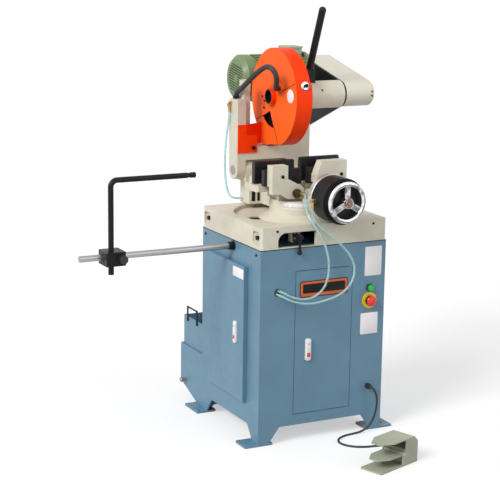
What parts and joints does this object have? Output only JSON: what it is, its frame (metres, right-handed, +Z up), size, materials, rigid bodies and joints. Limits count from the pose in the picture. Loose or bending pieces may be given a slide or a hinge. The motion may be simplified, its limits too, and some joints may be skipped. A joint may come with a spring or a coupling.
{
  "type": "cold saw",
  "caption": "Pull-down cold saw on a sheet metal stand, with a swivelling gear head, circular blade under swinging guards, air vice, bar stop, coolant tank and foot switch.",
  "frame": {"origin": "on the floor at the centre of the stand and of its four anchor holes", "axes": "+X to the operator's right, +Y to the back, +Z up"},
  "size_m": [1.248, 1.1823, 1.5666],
  "materials": {
    "stand_paint": "satin sheet metal paint",
    "cream_paint": "cream machine enamel",
    "cover_paint": "cream sheet metal paint",
    "guard_paint": "orange gloss paint",
    "motor_paint": "green enamel",
    "pedal_paint": "grey green hammered paint",
    "black_paint": "black satin",
    "black_steel": "blackened steel",
    "steel": "ground steel",
    "chrome": "polished chrome",
    "brass": "bare brass",
    "rubber": "black rubber",
    "clear_tube": "clear plastic tube",
    "black_plastic": "moulded black plastic",
    "yellow_plastic": "yellow plastic",
    "red_plastic": "red plastic",
    "green_plastic": "green plastic",
    "white_plastic": "white plastic",
    "panel_grey": "grey paint"
  },
  "bodies": {
    "base": {"cabinet": "stand_paint", "foot_plates": "stand_paint", "table": "cream_paint", "table_bolts": "black_paint", "vice_bed": "cream_paint", "fixed_jaws": "black_steel", "air_cylinder": "black_paint", "air_fitting": "brass", "air_tube_jaw": "clear_tube", "air_tube_cylinder": "clear_tube", "cable_gland": "black_plastic", "pedal_cable": "rubber", "pedal_housing": "pedal_paint", "stop_socket": "black_paint", "tank_holder": "stand_paint", "button_collars": "yellow_plastic", "electric_panel": "panel_grey", "coolant_pump": "panel_grey", "hinge_pins": "steel"},
    "front_door": {"front_door": "stand_paint"},
    "front_latch": {"front_latch": "white_plastic"},
    "side_door": {"side_door": "stand_paint"},
    "side_latch": {"side_latch": "white_plastic"},
    "start_button": {"start_button": "green_plastic"},
    "estop_button": {"estop_button": "red_plastic"},
    "foot_pedal": {"foot_pedal": "pedal_paint"},
    "coolant_tank": {"coolant_tank": "stand_paint", "tank_handle": "steel"},
    "stop_rod": {"stop_rod": "steel"},
    "stop_clamp": {"stop_clamp": "black_paint"},
    "stop_knob": {"stop_knob": "black_plastic"},
    "stop_arm": {"stop_arm": "black_paint"},
    "turret": {"turret": "cream_paint", "pivot_shaft": "steel"},
    "mitre_lever": {"mitre_lever": "black_paint"},
    "vice_jaw": {"vice_slide": "cream_paint", "jaw_plates": "black_steel", "jaw_fitting": "brass"},
    "vice_screw": {"vice_screw": "steel", "handwheel": "chrome"},
    "head": {"head_arm": "cream_paint", "gear_housing": "cream_paint", "gear_reducer": "steel", "back_plate": "black_paint", "belt_cover": "cover_paint", "motor_body": "motor_paint", "fan_cover": "motor_paint", "terminal_box": "motor_paint", "upper_guard": "guard_paint", "rear_guard": "guard_paint", "pull_handle": "black_paint", "coolant_hose": "rubber", "coolant_tap": "brass", "coolant_tube": "clear_tube", "drive_belt": "rubber"},
    "front_guard": {"front_guard": "guard_paint"},
    "spindle": {"spindle": "steel", "saw_blade": "steel"},
    "input_shaft": {"input_shaft": "steel"},
    "motor_rotor": {"motor_rotor": "steel"}
  },
  "joints": [
    {"name": "front_door_hinge", "type": "hinge", "parent": "base", "child": "front_door", "pos_m": [0.1125, -0.236, 0.374], "axis": [0, 0, 1], "range_deg": [0, 110], "deforming": ["air_tube_jaw", "air_tube_cylinder"]},
    {"name": "front_latch_turn", "type": "hinge", "parent": "front_door", "child": "front_latch", "pos_m": [-0.06145, -0.24, 0.36328], "axis": [0, 1, 0], "range_deg": [0, 90]},
    {"name": "side_door_hinge", "type": "hinge", "parent": "base", "child": "side_door", "pos_m": [-0.266, 0.155, 0.4], "axis": [0, 0, -1], "range_deg": [0, 110]},
    {"name": "side_latch_turn", "type": "hinge", "parent": "side_door", "child": "side_latch", "pos_m": [-0.278, -0.0868, 0.41524], "axis": [1, 0, 0], "range_deg": [0, 90]},
    {"name": "start_press", "type": "slide", "parent": "base", "child": "start_button", "axis": [0, 1, 0], "range_m": [0, 0.0035], "stiffness_N_per_m": 600, "springref_m": -0.002},
    {"name": "estop_press", "type": "slide", "parent": "base", "child": "estop_button", "axis": [0, 1, 0], "range_m": [0, 0.006], "stiffness_N_per_m": 1200, "springref_m": -0.002},
    {"name": "pedal_press", "type": "hinge", "parent": "base", "child": "foot_pedal", "pos_m": [0.10485, -0.58656, 0.044], "axis": [0.342, -0.9397, 0], "range_deg": [0, 10], "stiffness_Nm_per_rad": 6, "springref_deg": -8.59},
    {"name": "tank_lift", "type": "slide", "parent": "base", "child": "coolant_tank", "axis": [0, 0, 1], "range_m": [0, 0.25]},
    {"name": "stop_rod_slide", "type": "slide", "parent": "base", "child": "stop_rod", "axis": [1, 0, 0], "range_m": [-0.05, 0.1]},
    {"name": "stop_clamp_slide", "type": "slide", "parent": "stop_rod", "child": "stop_clamp", "axis": [1, 0, 0], "range_m": [-0.07, 0.2]},
    {"name": "stop_arm_turn", "type": "hinge", "parent": "stop_clamp", "child": "stop_arm", "pos_m": [-0.752, -0.049, 0.708], "axis": [0, 0, 1], "range_deg": [-90, 90]},
    {"name": "stop_knob_turn", "type": "hinge", "parent": "stop_clamp", "child": "stop_knob", "pos_m": [-0.72, -0.084, 0.708], "axis": [0, 1, 0], "range_deg": [-180, 180]},
    {"name": "swivel", "type": "hinge", "parent": "base", "child": "turret", "pos_m": [0, -0.04, 0.85], "axis": [0, 0, 1], "range_deg": [-45, 0]},
    {"name": "mitre_lock", "type": "hinge", "parent": "base", "child": "mitre_lever", "pos_m": [-0.109, -0.24, 0.7705], "axis": [0, 1, 0], "range_deg": [-30, 30]},
    {"name": "vice_screw_turn", "type": "hinge", "parent": "base", "child": "vice_screw", "pos_m": [0.032, -0.334, 0.899], "axis": [0, 1, 0], "range_deg": [-3000, 1800], "deforming": ["air_tube_jaw"]},
    {"name": "vice_jaw_slide", "type": "slide", "parent": "base", "child": "vice_jaw", "axis": [0, 1, 0], "range_m": [-0.0501, 0.0301], "deforming": ["air_tube_jaw"]},
    {"name": "head_pivot", "type": "hinge", "parent": "turret", "child": "head", "pos_m": [0, 0.215, 0.945], "axis": [1, 0, 0], "range_deg": [0, 42], "deforming": ["coolant_tube"]},
    {"name": "guard_swing", "type": "hinge", "parent": "head", "child": "front_guard", "pos_m": [0, 0.127, 1.23], "axis": [1, 0, 0], "range_deg": [-105.5, 0.5]},
    {"name": "motor_spin", "type": "hinge", "parent": "head", "child": "motor_rotor", "pos_m": [0.1, 0.41, 1.27], "axis": [1, 0, 0], "continuous": true},
    {"name": "input_spin", "type": "hinge", "parent": "head", "child": "input_shaft", "pos_m": [0.2, 0.127, 1.23], "axis": [1, 0, 0], "continuous": true},
    {"name": "spindle_spin", "type": "hinge", "parent": "head", "child": "spindle", "pos_m": [0, 0.127, 1.23], "axis": [1, 0, 0], "continuous": true}
  ],
  "couplings": [
    {"joint": "vice_jaw_slide", "follows": "vice_screw_turn", "m_per_rad": 0.00095493},
    {"joint": "guard_swing", "follows": "head_pivot", "ratio": -2.5},
    {"joint": "input_spin", "follows": "motor_spin", "ratio": 0.85},
    {"joint": "spindle_spin", "follows": "motor_spin", "ratio": 0.070833}
  ]
}
